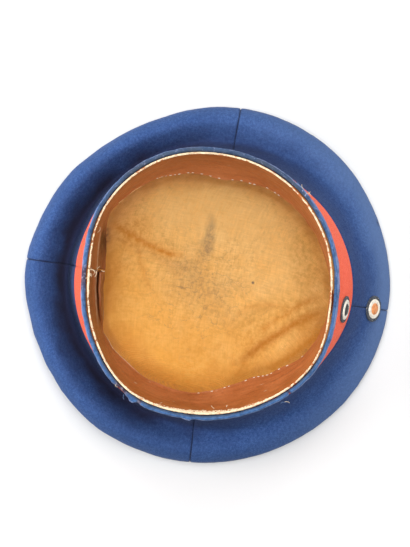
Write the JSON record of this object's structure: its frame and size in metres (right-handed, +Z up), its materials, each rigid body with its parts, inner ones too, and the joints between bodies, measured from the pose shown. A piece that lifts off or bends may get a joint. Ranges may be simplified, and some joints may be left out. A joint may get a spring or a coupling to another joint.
{
  "type": "peakless round cloth cap",
  "caption": "Soft round cap without a peak, lying on its crown: blue cloth crown, red band, leather sweatband, cotton lining and round metal cockades at the front.",
  "frame": {"origin": "middle of the crown's outline, on the flat face that the cap lies on", "axes": "+Z up, out of the cap's mouth; -Y towards the front of the cap, where the cockades are; +X towards its right side as worn"},
  "size_m": [0.2708, 0.2756, 0.095],
  "materials": {
    "crown_cloth": "milled blue wool cloth, matt with a short nap",
    "band_cloth": "red wool cloth, matt",
    "edging_cloth": "folded blue cloth, worn along its edge",
    "sweatband_leather": "smooth brown leather with a pale raw edge",
    "lining_cotton": "ochre cotton, creased and stained",
    "cockade_metal": "stamped metal with worn black, white and orange paint"
  },
  "bodies": {
    "root": {"crown_front_right": "crown_cloth", "crown_back_right": "crown_cloth", "crown_back_left": "crown_cloth", "crown_front_left": "crown_cloth", "crown_top": "crown_cloth", "band": "band_cloth", "rim_edging": "edging_cloth", "sweatband": "sweatband_leather", "lining": "lining_cotton", "cockade_upper": "cockade_metal", "cockade_lower": "cockade_metal"}
  },
  "joints": []
}
